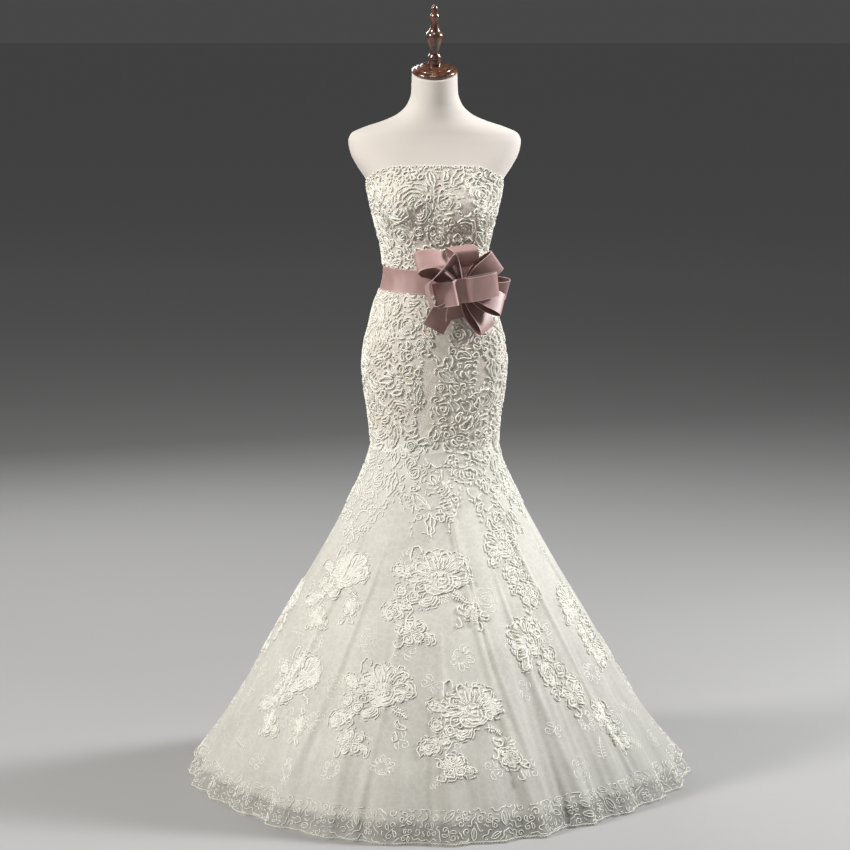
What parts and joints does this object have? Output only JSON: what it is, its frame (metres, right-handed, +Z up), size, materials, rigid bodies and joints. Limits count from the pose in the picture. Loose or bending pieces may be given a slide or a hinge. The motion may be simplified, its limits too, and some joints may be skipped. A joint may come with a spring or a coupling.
{
  "type": "strapless lace trumpet wedding gown on a dress form",
  "caption": "Floor-length strapless ivory lace trumpet wedding gown with a mauve ribbon sash and looped bow, worn by a limbless dress form with a turned wooden cap and finial on a round stand.",
  "frame": {"origin": "on the floor, at the middle of the stand base's underside, on the dress form's upright axis", "axes": "+Z up; -Y is the front of the gown, towards the viewer; +X is the viewer's right, the side the bow is on"},
  "size_m": [1.1684, 1.2792, 1.7673],
  "materials": {
    "lace": "raised corded lace",
    "ivory_net": "soft matt net",
    "ivory_satin": "soft satin",
    "mauve_ribbon": "satin ribbon",
    "form_cover": "stretched matt jersey",
    "dark_wood": "gloss varnish",
    "stand_metal": "satin"
  },
  "bodies": {
    "root": {"bodice_back_left": "lace", "bodice_back_right": "lace", "bodice_front": "lace", "bow_knot": "mauve_ribbon", "bow_loop_front": "mauve_ribbon", "bow_loop_left": "mauve_ribbon", "bow_loop_low": "mauve_ribbon", "bow_loop_low_right": "mauve_ribbon", "bow_loop_right": "mauve_ribbon", "bow_loop_top": "mauve_ribbon", "bow_loop_top_left": "mauve_ribbon", "bow_loop_top_right": "mauve_ribbon", "bow_tail_left": "mauve_ribbon", "bow_tail_middle": "mauve_ribbon", "finial": "dark_wood", "form_body": "form_cover", "hip_back_left": "lace", "hip_back_right": "lace", "hip_front": "lace", "lace_spray_01": "lace", "lace_spray_02": "lace", "lace_spray_03": "lace", "lace_spray_04": "lace", "lace_spray_05": "lace", "lace_spray_06": "lace", "lace_spray_07": "lace", "lace_spray_08": "lace", "lace_spray_09": "lace", "lace_spray_10": "lace", "lace_spray_11": "lace", "lace_spray_12": "lace", "lace_spray_13": "lace", "lace_spray_14": "lace", "lace_spray_15": "lace", "lace_spray_16": "lace", "lace_spray_17": "lace", "lace_spray_18": "lace", "lace_spray_19": "lace", "lace_spray_20": "lace", "lining_back": "ivory_satin", "lining_front": "ivory_satin", "neck_cap": "dark_wood", "net_back_left": "ivory_net", "net_back_right": "ivory_net", "net_front": "ivory_net", "sash": "mauve_ribbon", "stand_base": "dark_wood", "stand_pole": "stand_metal", "zip_lower": "ivory_satin", "zip_upper": "ivory_satin"}
  },
  "joints": []
}
